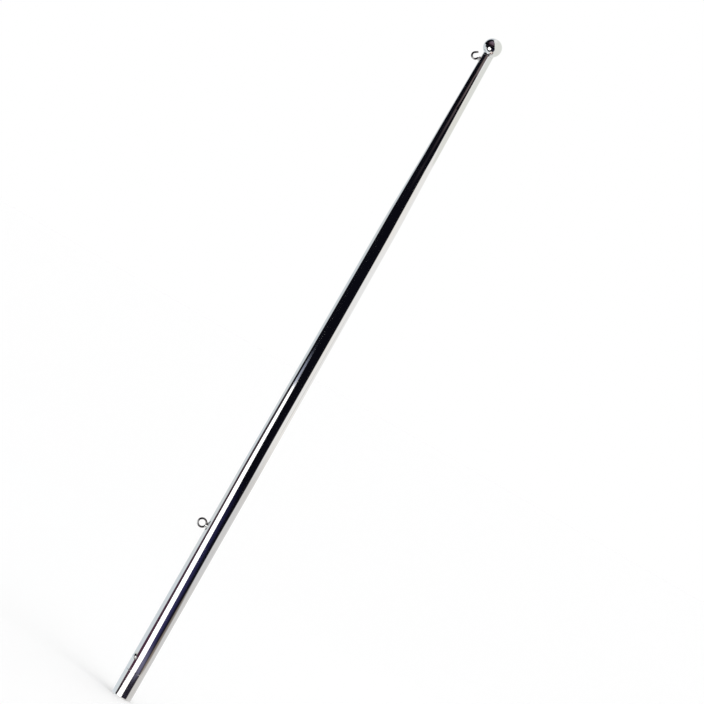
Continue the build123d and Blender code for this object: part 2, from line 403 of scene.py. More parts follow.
tone_group, into, out = new_group(
    "steel_tone",
    [
        ("Vector", "NodeSocketVector", None),
        ("Cool", "NodeSocketColor", (0.77, 0.78, 0.79, 1.0)),
        ("Warm", "NodeSocketColor", (0.79, 0.775, 0.75, 1.0)),
        ("Dull", "NodeSocketColor", (0.71, 0.705, 0.69, 1.0)),
    ],
    [("Color", "NodeSocketColor")],
)
drawn = noise(tone_group, stretched(tone_group, into.outputs["Vector"], DRAW_SCALE), 1.0, detail=3.0)
patches = noise(tone_group, into.outputs["Vector"], PATCH_SCALE, detail=4.0, rough=0.6)
tone = mixed(tone_group, ramp(tone_group, drawn, 0.35, 0.65), into.outputs["Cool"], into.outputs["Warm"])
tone = mixed(tone_group, ramp(tone_group, patches, 0.55, 0.8, 0.0, 0.5), tone, into.outputs["Dull"])
tone_group.links.new(tone, out.inputs["Color"])
print("group:", tone_group.name)

# %% [markdown]
# ## Five finishes
# Tube and heel are mirror polished, and the ball, which is turned, a little finer. The wire of hook and
# ring keeps the dark skin of its drawing. The collars were turned on a lathe and only touched by the
# wheel, which leaves fine rings about their own axis. The stud's face was buffed after turning.
# All five are a Principled BSDF with plain Metallic 1, and what differs is what reaches Base Color,
# Roughness and the bump. So one function makes them all, and a finish is a short list of amounts.

# %% Steel material
FILM_TINT = (0.66, 0.655, 0.64)
HEAT_TINT = (0.76, 0.66, 0.5)
COMPOUND_TINT = (0.2, 0.19, 0.17)
# Pale steel where the surface is worn; on the wire and the hook's collar this tint also paints a highlight.
WEAR_AND_HIGHLIGHT_TINT = (0.86, 0.855, 0.85)


def steel(
    name, sharpness, film_amount, line_amount, stretch, line_height, size=1.0, colours=None, worn=0.12
):
    """Material of one finish.

    Roughness is sharpness + film_amount * film + line_amount * lines + 0.3 * residue + worn * the value of
    wear and painted highlight.
    line_height is the depth of the polishing lines in metres, and size makes the film's clouds smaller.
    """
    material = bpy.data.materials.new(name)
    material.use_nodes = True
    tree = material.node_tree
    shader = tree.nodes["Principled BSDF"]
    shader.inputs["Metallic"].default_value = 1.0
    place = tree.nodes.new("ShaderNodeTexCoord").outputs["Object"]
    seat = tree.nodes.new("ShaderNodeAttribute")
    seat.attribute_name = "seat"
    # Wear value: real wear on tube, heel and stud, and a painted highlight on the wire of hook and ring and
    # on the hook's collar.
    wear_and_highlight = tree.nodes.new("ShaderNodeAttribute")
    wear_and_highlight.attribute_name = "wear_and_highlight"

    def placed(group, **values):
        made = tree.nodes.new("ShaderNodeGroup")
        made.node_tree = group
        tree.links.new(place, made.inputs["Vector"])
        for label, value in values.items():
            made.inputs[label].default_value = value
        return made

    tone = placed(tone_group, **(colours or {}))
    lines = placed(polish_group, Stretch=stretch)
    film = placed(film_group, Size=size)
    corner = placed(corner_group)
    tree.links.new(seat.outputs["Fac"], corner.inputs["Seat"])
    colour = tone.outputs["Color"]
    colour = mixed(tree, maths(tree, "MULTIPLY", film.outputs["Mask"], 0.35), colour, FILM_TINT)
    colour = mixed(tree, maths(tree, "MULTIPLY", corner.outputs["Heat"], 0.4), colour, HEAT_TINT)
    colour = mixed(tree, maths(tree, "MULTIPLY", corner.outputs["Residue"], 0.7), colour, COMPOUND_TINT)
    # Pale tint by the wear value: worn steel, and on the wire and the hook's collar a painted highlight as
    # well.
    colour = mixed(tree, wear_and_highlight.outputs["Fac"], colour, WEAR_AND_HIGHLIGHT_TINT)
    tree.links.new(colour, shader.inputs["Base Color"])
    rough = maths(tree, "MULTIPLY", film.outputs["Mask"], film_amount)
    rough = maths(tree, "ADD", rough, maths(tree, "MULTIPLY", lines.outputs["Mask"], line_amount))
    rough = maths(tree, "ADD", rough, maths(tree, "MULTIPLY", corner.outputs["Residue"], 0.3))
    rough = maths(tree, "ADD", rough, maths(tree, "MULTIPLY", wear_and_highlight.outputs["Fac"], worn))
    tree.links.new(maths(tree, "ADD", rough, sharpness), shader.inputs["Roughness"])
    bump = tree.nodes.new("ShaderNodeBump")
    bump.inputs["Distance"].default_value = line_height
    bump.inputs["Strength"].default_value = 1.0
    tree.links.new(lines.outputs["Height"], bump.inputs["Height"])
    tree.links.new(bump.outputs["Normal"], shader.inputs["Normal"])
    return material


DRAWN_SKIN = {
    "Cool": (0.13, 0.13, 0.145, 1.0),
    "Warm": (0.145, 0.13, 0.125, 1.0),
    "Dull": (0.1, 0.096, 0.092, 1.0),
}
mirror_steel = steel(
    "mirror_steel",
    sharpness=0.045,
    film_amount=0.05,
    line_amount=0.02,
    stretch=MIRROR_STRETCH,
    line_height=1e-7,
)
ball_steel = steel(
    "ball_steel",
    sharpness=0.04,
    film_amount=0.05,
    line_amount=0.02,
    stretch=(90.0, 90.0, 5000.0),
    line_height=1e-7,
    size=2.0,
)
wire_steel = steel(
    "wire_steel",
    sharpness=0.12,
    film_amount=0.06,
    line_amount=0.05,
    stretch=(500.0, 4000.0, 500.0),
    line_height=5e-7,
    size=3.0,
    colours=DRAWN_SKIN,
    worn=0.6,
)
turned_steel = steel(
    "turned_steel",
    sharpness=0.14,
    film_amount=0.06,
    line_amount=0.08,
    stretch=(6000.0, 300.0, 300.0),
    line_height=5e-7,
    size=3.0,
    worn=0.55,
)
stud_steel = steel(
    "stud_steel",
    sharpness=0.07,
    film_amount=0.05,
    line_amount=0.05,
    stretch=(3000.0, 3000.0, 3000.0),
    line_height=3e-7,
    size=3.0,
)
print("materials:", [m.name for m in (mirror_steel, ball_steel, wire_steel, turned_steel, stud_steel)])

# %% [markdown]
# ## Sizes of the staff
# The solids were made in millimetres from a list of sizes. The pieces that stand for them repeat those
# sizes, so that each one lies where its solid lies.

# %% Sizes
MM = 0.001
BUTT_RADIUS, SHOULDER_RADIUS, WAIST_RADIUS, NECK_RADIUS = 15.875, 13.9, 11.3, 8.35
BALL_HEIGHT, TUBE_TOP, TUBE_BOTTOM = 1116.05, 1101.45, 42.5
FULL_HEIGHT, SHOULDER_HEIGHT, WAIST_HEIGHT = BALL_HEIGHT - 745, BALL_HEIGHT - 300, BALL_HEIGHT - 200
KNEE_RADIUS = 2000.0                            # of the soft bends between the tapers
TUBE_WALL, JOINT_BEVEL, EDGE_ROUND, SPIGOT_GAP = 1.6, 0.3, 0.12, 0.1
BALL_RADIUS, NECK_FILLET = 14.25, 1.6
BALL_SPIGOT, HEEL_SPIGOT, SPIGOT_BEVEL = 22.0, 30.0, 1.0
HEEL_BEVEL, HEEL_ROUND = 1.5, 0.5
HOOK_HEIGHT, RING_HEIGHT, STUD_HEIGHT = 1092.3, 285.75, 63.5
HOOK_COLLAR_RADIUS, RING_COLLAR_RADIUS, STUD_RADIUS = 3.6, 5.2, 4.5
HOOK_COLLAR_RISE, RING_COLLAR_RISE = 2.4, 2.2
STUD_TURN = math.radians(40)                    # from the hook's side towards the front
WIRE_RADIUS, WIRE_INSIDE = 1.5, 2.0             # and how far a shank stands into the bore
STEM_LENGTH, TIP_LENGTH = 1.8, 3.9              # the hook's straights outside the wall
BEND_RADIUS, LOOP_RADIUS = 2.3, 5.0
BEND_TURN, LOOP_TURN = math.radians(62), math.radians(210)
RING_RADIUS, RING_GAP = 6.4, 0.2

STAFF_AROUND = 144                              # points round tube, ball and heel
AXIS_RING = 1.0                                 # radius of the last ring before an end's middle point


def staff_radius(height):
    """Outside radius at a height: straight between neck, waist, shoulder and full diameter."""
    return np.interp(
        height,
        [FULL_HEIGHT, SHOULDER_HEIGHT, WAIST_HEIGHT, TUBE_TOP],
        [BUTT_RADIUS, SHOULDER_RADIUS, WAIST_RADIUS, NECK_RADIUS],
    )


for label, height in (("hook", HOOK_HEIGHT), ("ring", RING_HEIGHT), ("stud", STUD_HEIGHT)):
    print(f"staff radius at the {label}: {staff_radius(height):.2f} mm")

# %% [markdown]
# Two values are painted on every piece for the materials: seat is 1 in the corner round a fitting and
# fades within a few millimetres, and the wear value grows towards 1 where the halyard, a snap or the
# socket wears the surface. On the wire of hook and ring and on the hook's collar the same value also
# paints a pale highlight into the colour. Both are formulas of a point's place, so they need no painting
# by hand.

# %% Values painted on the pieces
FAR = 1e3                                       # millimetres, on the staff's other side


def closeness(points, height, turn, foot, reach):
    """exp(-gap / reach), with the gap from a point to the round foot of a fitting on the staff's side.

    The gap is the distance from the fitting's own axis less the foot's radius, and at least 0.
    """
    out = np.array([-math.cos(turn), -math.sin(turn), 0.0])
    arm = points - np.array([0.0, 0.0, height])
    beside = np.linalg.norm(arm - np.outer(arm @ out, out), axis=1)
    gap = np.where(arm @ out > 0, np.maximum(beside - foot, 0.0), FAR)
    return np.exp(-gap / reach)


def bump(angle, middle, width):
    """1 near the middle angle, with a flat top and soft sides: min(1, 1.6 exp(-(gap / width)^2))."""
    return np.minimum(1, 1.6 * np.exp(-(((angle - middle) / width) ** 2)))


def finish_piece(piece, material, node, seat=None, wear_and_highlight=None):
    """Paints seat and the wear value, which also carries painted highlights, gives the material, and puts
    the piece in the place of its CAD node.
    """
    points = mesh_points(piece) / MM
    # The second value is wear, and on the wire and the hook's collar a painted highlight as well.
    for label, formula in (("seat", seat), ("wear_and_highlight", wear_and_highlight)):
        values = formula(points) if formula else np.zeros(len(points))
        layer = piece.data.attributes.new(label, "FLOAT", "POINT")
        layer.data.foreach_set("value", np.clip(values, 0, 1).astype(np.float32))
    piece.data.materials.append(material)
    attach(piece, "root")
    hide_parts(node)
    tell(piece)


above_hook = np.array([[-NECK_RADIUS, 0.0, HOOK_HEIGHT + HOOK_COLLAR_RADIUS + 1.0]])
near_hook = closeness(above_hook, HOOK_HEIGHT, 0.0, HOOK_COLLAR_RADIUS, reach=0.4)
print("closeness 1 mm above the hook's collar:", near_hook.round(3).tolist())

# %% [markdown]
# ## Tube
# The tube was drawn down in three tapers, and the die leaves a long soft knee between them. Seen from
# the side the knees are hard to find, but they bend the reflections, so each one is an arc of two
# metres' radius. A loft between a few circles would put the bends in the wrong place.
# The wall and the bore are there too: the mesh is a closed tube, not a skin.

# %% Tube
tube_outer = rounded(
    [
        (NECK_RADIUS - TUBE_WALL, TUBE_TOP),
        (NECK_RADIUS - JOINT_BEVEL, TUBE_TOP),
        (float(staff_radius(TUBE_TOP - JOINT_BEVEL)), TUBE_TOP - JOINT_BEVEL),
        (WAIST_RADIUS, WAIST_HEIGHT),
        (SHOULDER_RADIUS, SHOULDER_HEIGHT),
        (BUTT_RADIUS, FULL_HEIGHT),
        (BUTT_RADIUS, TUBE_BOTTOM + JOINT_BEVEL),
        (BUTT_RADIUS - JOINT_BEVEL, TUBE_BOTTOM),
        (BUTT_RADIUS - TUBE_WALL, TUBE_BOTTOM),
    ],
    [EDGE_ROUND, EDGE_ROUND, KNEE_RADIUS, KNEE_RADIUS, KNEE_RADIUS, EDGE_ROUND, EDGE_ROUND],
    hold=0.5,
)
tube_bore = [
    (BUTT_RADIUS - TUBE_WALL, FULL_HEIGHT),
    (SHOULDER_RADIUS - TUBE_WALL, SHOULDER_HEIGHT),
    (WAIST_RADIUS - TUBE_WALL, WAIST_HEIGHT),
]
tube_grid = revolved(np.vstack([divided(tube_outer, longest=8.0), tube_bore]), STAFF_AROUND) * MM
staff_tube = mesh_piece("staff_tube_polished", tube_grid, ends="loop")


def tube_seat(points):
    """The closeness to the feet of hook, ring and stud, added up."""
    hook = closeness(points, HOOK_HEIGHT, 0.0, HOOK_COLLAR_RADIUS, reach=0.4)
    ring = closeness(points, RING_HEIGHT, 0.0, RING_COLLAR_RADIUS, reach=0.5)
    stud = closeness(points, STUD_HEIGHT, STUD_TURN, STUD_RADIUS, reach=0.4)
    return hook + ring + stud


def tube_rub(points):
    """A little up to the stud, where the socket ends, and half where a snap swings below the ring."""
    socket = 0.1 * np.exp(-np.maximum(points[:, 2] - STUD_HEIGHT, 0) / 6)
    snap = 0.5 * closeness(points, RING_HEIGHT - 16, 0.0, foot=3.0, reach=6.0)
    return socket + snap


finish_piece(staff_tube, mirror_steel, "staff_tube", tube_seat, tube_rub)

# %% [markdown]
# ## Ball
# The ball is turned from solid bar in one piece with its neck, and a small fillet runs from one to the
# other. The outline is two arcs that meet tangent: the fillet's middle lies where circles of ball radius
# plus fillet radius and of neck radius plus fillet radius cross. A sphere joined to a cylinder would
# leave a hard crease there.

# %% Ball
fillet_out = NECK_RADIUS + NECK_FILLET
fillet_drop = math.sqrt((BALL_RADIUS + NECK_FILLET) ** 2 - fillet_out**2)
ball_end = math.atan2(fillet_out, -fillet_drop)
ball_angle = np.linspace(math.radians(1.0), ball_end, 110)
ball_out = BALL_RADIUS * np.sin(ball_angle)
ball_up = BALL_HEIGHT + BALL_RADIUS * np.cos(ball_angle)
fillet_angle = np.linspace(ball_end, math.pi / 2, 12)
fillet_in = fillet_out - NECK_FILLET * np.sin(fillet_angle)
fillet_up = BALL_HEIGHT - fillet_drop - NECK_FILLET * np.cos(fillet_angle)
spigot_radius = NECK_RADIUS - TUBE_WALL - SPIGOT_GAP
spigot_end = TUBE_TOP - BALL_SPIGOT
neck_and_spigot = rounded(
    [
        (NECK_RADIUS, TUBE_TOP + JOINT_BEVEL + 0.6),
        (NECK_RADIUS, TUBE_TOP + JOINT_BEVEL),
        (NECK_RADIUS - JOINT_BEVEL, TUBE_TOP),
        (spigot_radius, TUBE_TOP),
        (spigot_radius, spigot_end + SPIGOT_BEVEL),
        (spigot_radius - SPIGOT_BEVEL, spigot_end),
        (AXIS_RING, spigot_end),
    ],
    [EDGE_ROUND, EDGE_ROUND, 0.0, EDGE_ROUND, EDGE_ROUND],
)
ball_outline = np.vstack(
    [
        np.stack([ball_out, ball_up], axis=1),
        np.stack([fillet_in, fillet_up], axis=1)[1:],
        neck_and_spigot,
    ]
)
finial = mesh_piece("finial_ball_polished", revolved(ball_outline, STAFF_AROUND) * MM)
finish_piece(finial, ball_steel, "finial_ball")

# %% [markdown]
# ## Heel
# The heel is solid, because the socket's screw and the deck's movement would dent a tube. Its edge is
# bevelled so that it finds the socket, and its spigot goes up into the tube.

# %% Heel
heel_spigot = BUTT_RADIUS - TUBE_WALL - SPIGOT_GAP
heel_outline = rounded(
    [
        (AXIS_RING, 0.0),
        (BUTT_RADIUS - HEEL_BEVEL, 0.0),
        (BUTT_RADIUS, HEEL_BEVEL),
        (BUTT_RADIUS, TUBE_BOTTOM - JOINT_BEVEL),
        (BUTT_RADIUS - JOINT_BEVEL, TUBE_BOTTOM),
        (heel_spigot, TUBE_BOTTOM),
        (heel_spigot, TUBE_BOTTOM + HEEL_SPIGOT - SPIGOT_BEVEL),
        (heel_spigot - SPIGOT_BEVEL, TUBE_BOTTOM + HEEL_SPIGOT),
        (AXIS_RING, TUBE_BOTTOM + HEEL_SPIGOT),
    ],
    [HEEL_ROUND, HEEL_ROUND, EDGE_ROUND, EDGE_ROUND, 0.0, 0.3, 0.3],
)
heel = mesh_piece("heel_plug_polished", revolved(divided(heel_outline, longest=4.0), STAFF_AROUND) * MM)


def heel_rub(points):
    """Rubbed a little by the socket all over, and most at the lower edge: 0.06 + 0.8 exp(-height / 2.5)."""
    return 0.06 + 0.8 * np.exp(-points[:, 2] / 2.5)


finish_piece(heel, mirror_steel, "heel_plug", wear_and_highlight=heel_rub)

# %% [markdown]
# ## Hook
# The hook is one length of wire: out of the staff, a tight bend towards the heel, then a round bend of
# 210 degrees back towards the ball, and a short straight tip whose end is rounded. A line made of
# straight parts and arcs is how a wire bender works, and its direction turns evenly in each arc.
# Drawn wire keeps a dark skin. What rides on hook and ring has worn it down to bright, scuffed steel,
# and the same pale patch paints the highlight that the bent wire shows there, so the wire looks broken
# there from a distance.

# %% Wire bent in a plane
def bent_line(start, heading, parts, step=0.25):
    """Points and headings of a line made of straight parts (length, 0) and arcs (radius, turn).

    On an arc the heading grows evenly to heading + turn, and a point is the arc's middle plus the
    radius square to the heading.
    """
    points, headings = [], []
    place = np.array(start, float)
    for size, turn in parts:
        if turn == 0:
            share = np.arange(0, 1, 1 / max(2, math.ceil(size / step)))
            way = np.array([math.cos(heading), math.sin(heading)])
            points.append(place + np.outer(share * size, way))
            headings.append(np.full(len(share), heading))
            place = place + way * size
        else:
            side = math.copysign(size, turn)
            middle = place + side * np.array([-math.sin(heading), math.cos(heading)])
            angle = heading + np.arange(0, 1, 1 / math.ceil(abs(turn) * size / step)) * turn
            points.append(middle + side * np.stack([np.sin(angle), -np.cos(angle)], axis=1))
            headings.append(angle)
            heading += turn
            place = middle + side * np.array([math.sin(heading), -math.cos(heading)])
    points.append(place[None])
    headings.append(np.array([heading]))
    return np.vstack(points), np.concatenate(headings)


def wire_grid(points, headings, radii, height, around=40):
    """Rings of wire square to a line in the plane of hook and ring.

    A ring's point is the line's point plus radius * (cos a * normal + sin a * Y). The first number of
    the line runs out from the staff's axis along -X, the second runs up from the height.
    """
    angle = ring_angles(around)
    across = radii[:, None] * np.cos(angle)
    out = points[:, :1] - np.sin(headings)[:, None] * across
    up = points[:, 1:] + np.cos(headings)[:, None] * across
    return np.stack([-out, radii[:, None] * np.sin(angle), height + up], axis=2)


quarter_bend = bent_line((0.0, 0.0), 0.0, [(1.0, math.radians(90))])[0]
print("a quarter bend of radius 1 ends at", quarter_bend[-1].round(3).tolist())

# %% [markdown]
# The hook's own line starts in the bore, so that the wire stands through the wall. Its tip is nearly a
# quarter circle, in which the wire's radius goes down to almost nothing. The wear is measured from the
# loop's middle and from the tip, both worked out from the line, so it stays in place when a bend changes.

# %% Hook
hook_base = float(staff_radius(HOOK_HEIGHT))
hook_points, hook_headings = bent_line(
    (hook_base - TUBE_WALL - WIRE_INSIDE, 0.0),
    0.0,
    [
        (TUBE_WALL + WIRE_INSIDE + STEM_LENGTH, 0),
        (BEND_RADIUS, -BEND_TURN),
        (LOOP_RADIUS, LOOP_TURN),
        (TIP_LENGTH, 0),
    ],
)
tip_angle = np.linspace(0, math.radians(87), 10)[1:]
tip_way = np.array([math.cos(hook_headings[-1]), math.sin(hook_headings[-1])])
tip_end = hook_points[-1]
loop_middle = tip_end - TIP_LENGTH * tip_way + LOOP_RADIUS * np.array([-tip_way[1], tip_way[0]])
hook_tip = hook_points[-1] + np.outer(np.sin(tip_angle) * WIRE_RADIUS, tip_way)
hook_line = np.vstack([hook_points, hook_tip])
hook_radii = np.concatenate([np.full(len(hook_points), WIRE_RADIUS), np.cos(tip_angle) * WIRE_RADIUS])
hook_turns = np.concatenate([hook_headings, np.full(len(tip_angle), hook_headings[-1])])
hook_grid = wire_grid(hook_line, hook_turns, hook_radii, HOOK_HEIGHT)
hook = mesh_piece("halyard_hook_wire", hook_grid * MM, sharp=50.0)
print("middle of the loop, mm from the staff's axis and from the hook's height:", loop_middle.round(2))


def wire_seat(points, base, collar_rise, reach):
    """exp(-gap / reach), with the gap out from the top of the collar that the wire stands in."""
    return np.exp(-np.maximum(-points[:, 0] - base - collar_rise, 0) / reach)


def hook_seat(points):
    """Residue of polishing compound where the wire leaves its collar."""
    return wire_seat(points, hook_base, HOOK_COLLAR_RISE, reach=0.3)


def hook_wear_and_highlight(points):
    """Wear and painted highlight near the loop's lowest place, where the halyard's eye rides; a half at the
    tip's end.
    """
    out, up = -points[:, 0], points[:, 2] - HOOK_HEIGHT
    angle = np.degrees(np.arctan2(up - loop_middle[1], out - loop_middle[0]))
    tip = np.hypot(out - tip_end[0], up - tip_end[1])
    # The bump on the loop is worn steel and a painted highlight where the wire catches the lamp.
    return bump(angle, -80, 20) + 0.5 * np.exp(-np.maximum(tip - WIRE_RADIUS, 0) / 0.8)


finish_piece(hook, wire_steel, "halyard_hook", hook_seat, hook_wear_and_highlight)

# %% [markdown]
# ## Ring
# The ring is closed and stands edge on to the staff. Its line is a full circle, so the grid closes both
# ways and there is no seam to weld. A torus from Blender's menu would do for this piece alone, but the
# wire's own function gives it the same map as the hook. Its shank, a piece of its own, goes through the
# tube's wall inside the collar.

# %% Ring
ring_middle = float(staff_radius(RING_HEIGHT)) + RING_GAP + WIRE_RADIUS + RING_RADIUS
ring_turn = ring_angles(120)
ring_out = ring_middle + RING_RADIUS * np.sin(ring_turn)
ring_line = np.stack([ring_out, -RING_RADIUS * np.cos(ring_turn)], axis=1)
ring_grid = wire_grid(ring_line, ring_turn, np.full(len(ring_line), WIRE_RADIUS), RING_HEIGHT)
ring = mesh_piece("halyard_ring_wire", ring_grid * MM, ends="loop")


def ring_seat(points):
    """Residue of polishing compound where the wire leaves its collar."""
    return wire_seat(points, BUTT_RADIUS, RING_COLLAR_RISE, reach=0.4)


def ring_wear_and_highlight(points):
    """A bump on the outer side, a little below the middle, where the snap swings: wear and a painted
    highlight.
    """
    angle = np.degrees(np.arctan2(points[:, 2] - RING_HEIGHT, -points[:, 0] - ring_middle))
    # Worn steel and a painted highlight on the ring's outer side.
    return bump(angle, -17, 22)


finish_piece(ring, wire_steel, "halyard_ring", ring_seat, ring_wear_and_highlight)

SHANK_RINGS = 12
shank_out = np.linspace(BUTT_RADIUS - TUBE_WALL - WIRE_INSIDE, ring_middle - RING_RADIUS, SHANK_RINGS)
straight = np.zeros(SHANK_RINGS)
shank_line = np.stack([shank_out, straight], axis=1)
shank_grid = wire_grid(shank_line, straight, np.full(SHANK_RINGS, WIRE_RADIUS), RING_HEIGHT)
ring_shank = mesh_piece("halyard_ring_shank", shank_grid * MM)
finish_piece(ring_shank, wire_steel, "halyard_ring", ring_seat)

# %% [markdown]
# ## Collars and stud
# A collar is turned, so it is round about its own shank, but its foot lies on the round staff. Seen from
# its side the foot is curved like a saddle. So a point's distance out is a blend: at the foot it is the
# staff's own surface under that point, and from the rim up it is a flat height above the seat.
# A Boolean cut could trim the foot, but it leaves ragged triangles just where light catches the edge.

# %% Seated turned piece
UNDER_SEAT = 0.15                               # how far a foot's closed underside lies below the surface


def seated_grid(turn, height, rows, around=96):
    """Rings of a turned piece that stands on the staff's side.

    Each row is (radius, rise, level). A point's distance from the staff's axis is
    (1 - level) * sqrt(staff radius^2 - sideways^2) + level * staff radius at the seat + rise.
    """
    rows = np.asarray(rows, float)
    radius, rise, level = rows[:, :1], rows[:, 1:2], rows[:, 2:]
    angle = ring_angles(around)
    up, side = radius * np.cos(angle), radius * np.sin(angle)
    under = np.sqrt(np.maximum(staff_radius(height + up) ** 2 - side**2, 0))
    out = (1 - level) * under + level * staff_radius(height) + rise
    return np.stack(
        [
            -out * math.cos(turn) + side * math.sin(turn),
            -out * math.sin(turn) - side * math.cos(turn),
            height + up,
        ],
        axis=2,
    )


def seated_rows(profile, foot_radius, level_rise):
    """Rows for seated_grid from a profile of (radius, rise).

    level is rise / level_rise, held between 0 and 1. Two more rows close the piece under the seat.
    """
    profile = np.asarray(profile)
    level = np.clip(profile[:, 1:] / level_rise, 0, 1)
    under = np.array([[foot_radius, -UNDER_SEAT, 0.0], [AXIS_RING, -UNDER_SEAT, 0.0]])
    return np.vstack([np.hstack([profile, level]), under])


print("rows of a plain disc:", seated_rows([(0.5, 1.0), (3.0, 1.0), (3.0, 0.0)], 3.0, 0.5).tolist())

# %% [markdown]
# The profile of each collar goes out from the wire over a small fillet, down a crowned flank, over the
# rounded rim and down to a polished bead of braze, which flares onto the staff. A straight flank would
# be a cone, which shows one hard line of light. The crown spreads that line over the whole flank.

# %% Collars
def collar_profile(wire, top, base, height, rim=0.5, bead=0.35):
    """(radius, rise) from the wire out to the braze bead's thin edge on the staff.

    The flank is crowned: its radius is top + (base - top) * t^0.45 while the rise falls evenly with t.
    The steps of t grow outwards, so that the strongly curved part at the top gets the most rings.
    """
    flank = np.linspace(0, 1, 14) ** 1.8
    flank_radius = top + (base - top) * flank**0.45
    flank_rise = height + (rim - height) * flank
    return rounded(
        [
            (wire - 0.1, height + 0.35),
            (wire + 0.05, height),
            *np.stack([flank_radius, flank_rise], axis=1),
            (base, 0.12),
            (base + bead, 0.0),
        ],
        [0.25] + [0.0] * len(flank) + [0.15],
        steps=5,
    )


hook_collar_profile = collar_profile(
    WIRE_RADIUS, top=2.6, base=HOOK_COLLAR_RADIUS, height=HOOK_COLLAR_RISE, bead=0.25
)
hook_collar_rows = seated_rows(hook_collar_profile, foot_radius=3.8, level_rise=0.5)
hook_collar = mesh_piece(
    "hook_collar_turned", seated_grid(0.0, HOOK_HEIGHT, hook_collar_rows) * MM, sharp=60.0
)


def hook_collar_seat(points):
    """Half the closeness to the wire, where the wheel can't reach."""
    return 0.5 * closeness(points, HOOK_HEIGHT, 0.0, foot=1.6, reach=0.3)


def hook_collar_wear_and_highlight(points):
    """The halyard chafes this small collar all over, so it has gone matt, and its paler colour paints a
    highlight.
    """
    # Painted highlight: the whole collar is paler as well as matt.
    return np.full(len(points), 0.9)


finish_piece(hook_collar, turned_steel, "hook_collar", hook_collar_seat, hook_collar_wear_and_highlight)

ring_collar_profile = collar_profile(
    wire=2.2, top=4.4, base=RING_COLLAR_RADIUS, height=RING_COLLAR_RISE
)
ring_collar_rows = seated_rows(ring_collar_profile, foot_radius=5.5, level_rise=0.5)
ring_collar = mesh_piece(
    "ring_collar_turned", seated_grid(0.0, RING_HEIGHT, ring_collar_rows) * MM, sharp=60.0
)


def ring_collar_seat(points):
    """Half the closeness to the shank, as on the hook's collar."""
    return 0.5 * closeness(points, RING_HEIGHT, 0.0, foot=1.6, reach=0.5)


finish_piece(ring_collar, turned_steel, "ring_collar", ring_collar_seat)

# %% [markdown]
# The stud drops into a notch in the socket's rim and stops the staff from turning. Its head is a low
# dome, so its upper half shows the dark side of the room and its lower half the pale one. A flat head
# would show one even tone.

# %% Stud
STUD_PROUD, STUD_DOME = 2.4, 9.0                # how far it stands out, and the radius of its dome
STUD_FOOT_DEPTH = 0.9                           # of its foot's sides, where the round staff falls away
DOME_RINGS = 14
dome_across = np.linspace(0.3, STUD_RADIUS, DOME_RINGS)
dome_rise = STUD_PROUD - STUD_DOME + np.sqrt(STUD_DOME**2 - dome_across**2)
stud_profile = rounded(
    [*np.stack([dome_across, dome_rise], axis=1), (STUD_RADIUS, 0.12), (STUD_RADIUS + 0.25, 0.0)],
    [0.0] * (DOME_RINGS - 2) + [0.25, 0.12],
)
stud_rows = seated_rows(divided(stud_profile, longest=0.4), foot_radius=4.7, level_rise=1.0)
stud = mesh_piece("locking_stud_turned", seated_grid(STUD_TURN, STUD_HEIGHT, stud_rows) * MM, sharp=60.0)


def stud_seat(points):
    """Half in the corner of the foot: 0.5 exp(-gap / 0.2), with the gap out from the foot's sides."""
    out = -points[:, 0] * math.cos(STUD_TURN) - points[:, 1] * math.sin(STUD_TURN)
    return 0.5 * np.exp(-np.maximum(out - BUTT_RADIUS + STUD_FOOT_DEPTH, 0) / 0.2)


def stud_rub(points):
    """The notch wears the side towards the heel, evenly up to a half at the stud's lowest point."""
    return 0.5 * np.clip((STUD_HEIGHT - points[:, 2]) / STUD_RADIUS, 0, 1)


finish_piece(stud, stud_steel, "locking_stud", stud_seat, stud_rub)

# %% [markdown]
# ## Floor and white background
# The staff stands on a plain pale floor under soft light. The background is the world's plain white for
# every ray that is seen, directly or in the metal, so the object itself is lit at a plain level.

# %% World, floor and lamp
FLOOR_HALF = 40.0                               # metres, so that its edge is never seen
FLOOR_GREY = (0.86, 0.86, 0.86, 1.0)
LAMP_STRENGTH = 0.62                            # watts per square metre

world = bpy.data.worlds.new("white_room")
world.use_nodes = True
background = world.node_tree.nodes["Background"]
background.inputs["Color"].default_value = (1.0, 1.0, 1.0, 1.0)
background.inputs["Strength"].default_value = 1.0
bpy.context.scene.world = world

floor_mesh = bpy.data.meshes.new("floor")
floor_corners = [(x * FLOOR_HALF, y * FLOOR_HALF, 0) for x, y in ((-1, -1), (1, -1), (1, 1), (-1, 1))]
floor_mesh.from_pydata(floor_corners, [], [(0, 1, 2, 3)])
floor = bpy.data.objects.new("floor", floor_mesh)
bpy.context.scene.collection.objects.link(floor)
floor_paint = bpy.data.materials.new("floor_paint")
floor_paint.use_nodes = True
floor_shader = floor_paint.node_tree.nodes["Principled BSDF"]
floor_shader.inputs["Base Color"].default_value = FLOOR_GREY
floor_shader.inputs["Roughness"].default_value = 0.9
floor_mesh.materials.append(floor_paint)
floor.visible_glossy = False

lamp_data = bpy.data.lights.new("soft_lamp", "SUN")
lamp_data.angle = math.radians(30)
lamp_data.energy = LAMP_STRENGTH
lamp = bpy.data.objects.new("soft_lamp", lamp_data)
lamp.rotation_euler = (math.radians(35), 0, math.radians(40))
lamp.visible_glossy = False
bpy.context.scene.collection.objects.link(lamp)
print("lamp:", LAMP_STRENGTH, "W per square metre, floor:", FLOOR_GREY[0])

# %% [markdown]
# ## The room that the steel shows
# A polished round bar squeezes the whole room into bands that run along it: the dark side of the studio
# behind the camera, a large white lamp in front of it, and pale walls at both sides. The ball shows the
# same room whole. So the room is what gives these surfaces their look, and it is built as cards on a
# sphere of three metres round the staff. A card's sides lean, because the staff leaned in its room.
# Only reflections see the cards: they hide nothing from the camera and light nothing.

# %% Light of the cards
METAL = 0.78                                    # what the steel gives back


